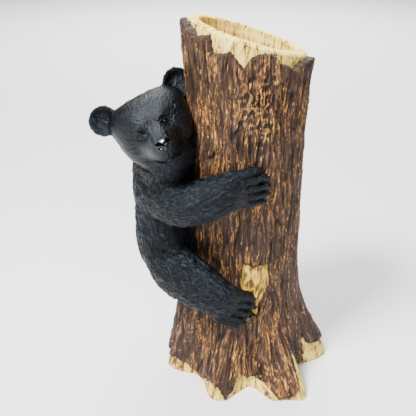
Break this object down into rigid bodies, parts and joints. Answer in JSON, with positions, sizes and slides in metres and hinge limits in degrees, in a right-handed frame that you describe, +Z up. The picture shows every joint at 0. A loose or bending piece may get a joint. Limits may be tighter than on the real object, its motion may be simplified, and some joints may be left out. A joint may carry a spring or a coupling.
{
  "type": "climbing bear statue",
  "caption": "Cast figure of a bear cub hugging a hollow tree stump with a slanted sawn rim, torn bark and spread roots, standing on its flat underside.",
  "frame": {"origin": "middle of the flat underside, on the stump's axis", "axes": "+Z up along the stump, -Y towards the side the bear looks to, -X towards the bear's back"},
  "size_m": [0.4036, 0.2901, 0.61],
  "materials": {
    "bark_paint": "cast resin hand-painted as dark bark with tan dry-brushed ridges and cream bare wood",
    "fur_paint": "cast resin painted black with a soft blue-grey sheen, glossier nose, eyes and claws"
  },
  "bodies": {
    "root": {"bear_and_stump": "bark_paint"}
  },
  "joints": []
}
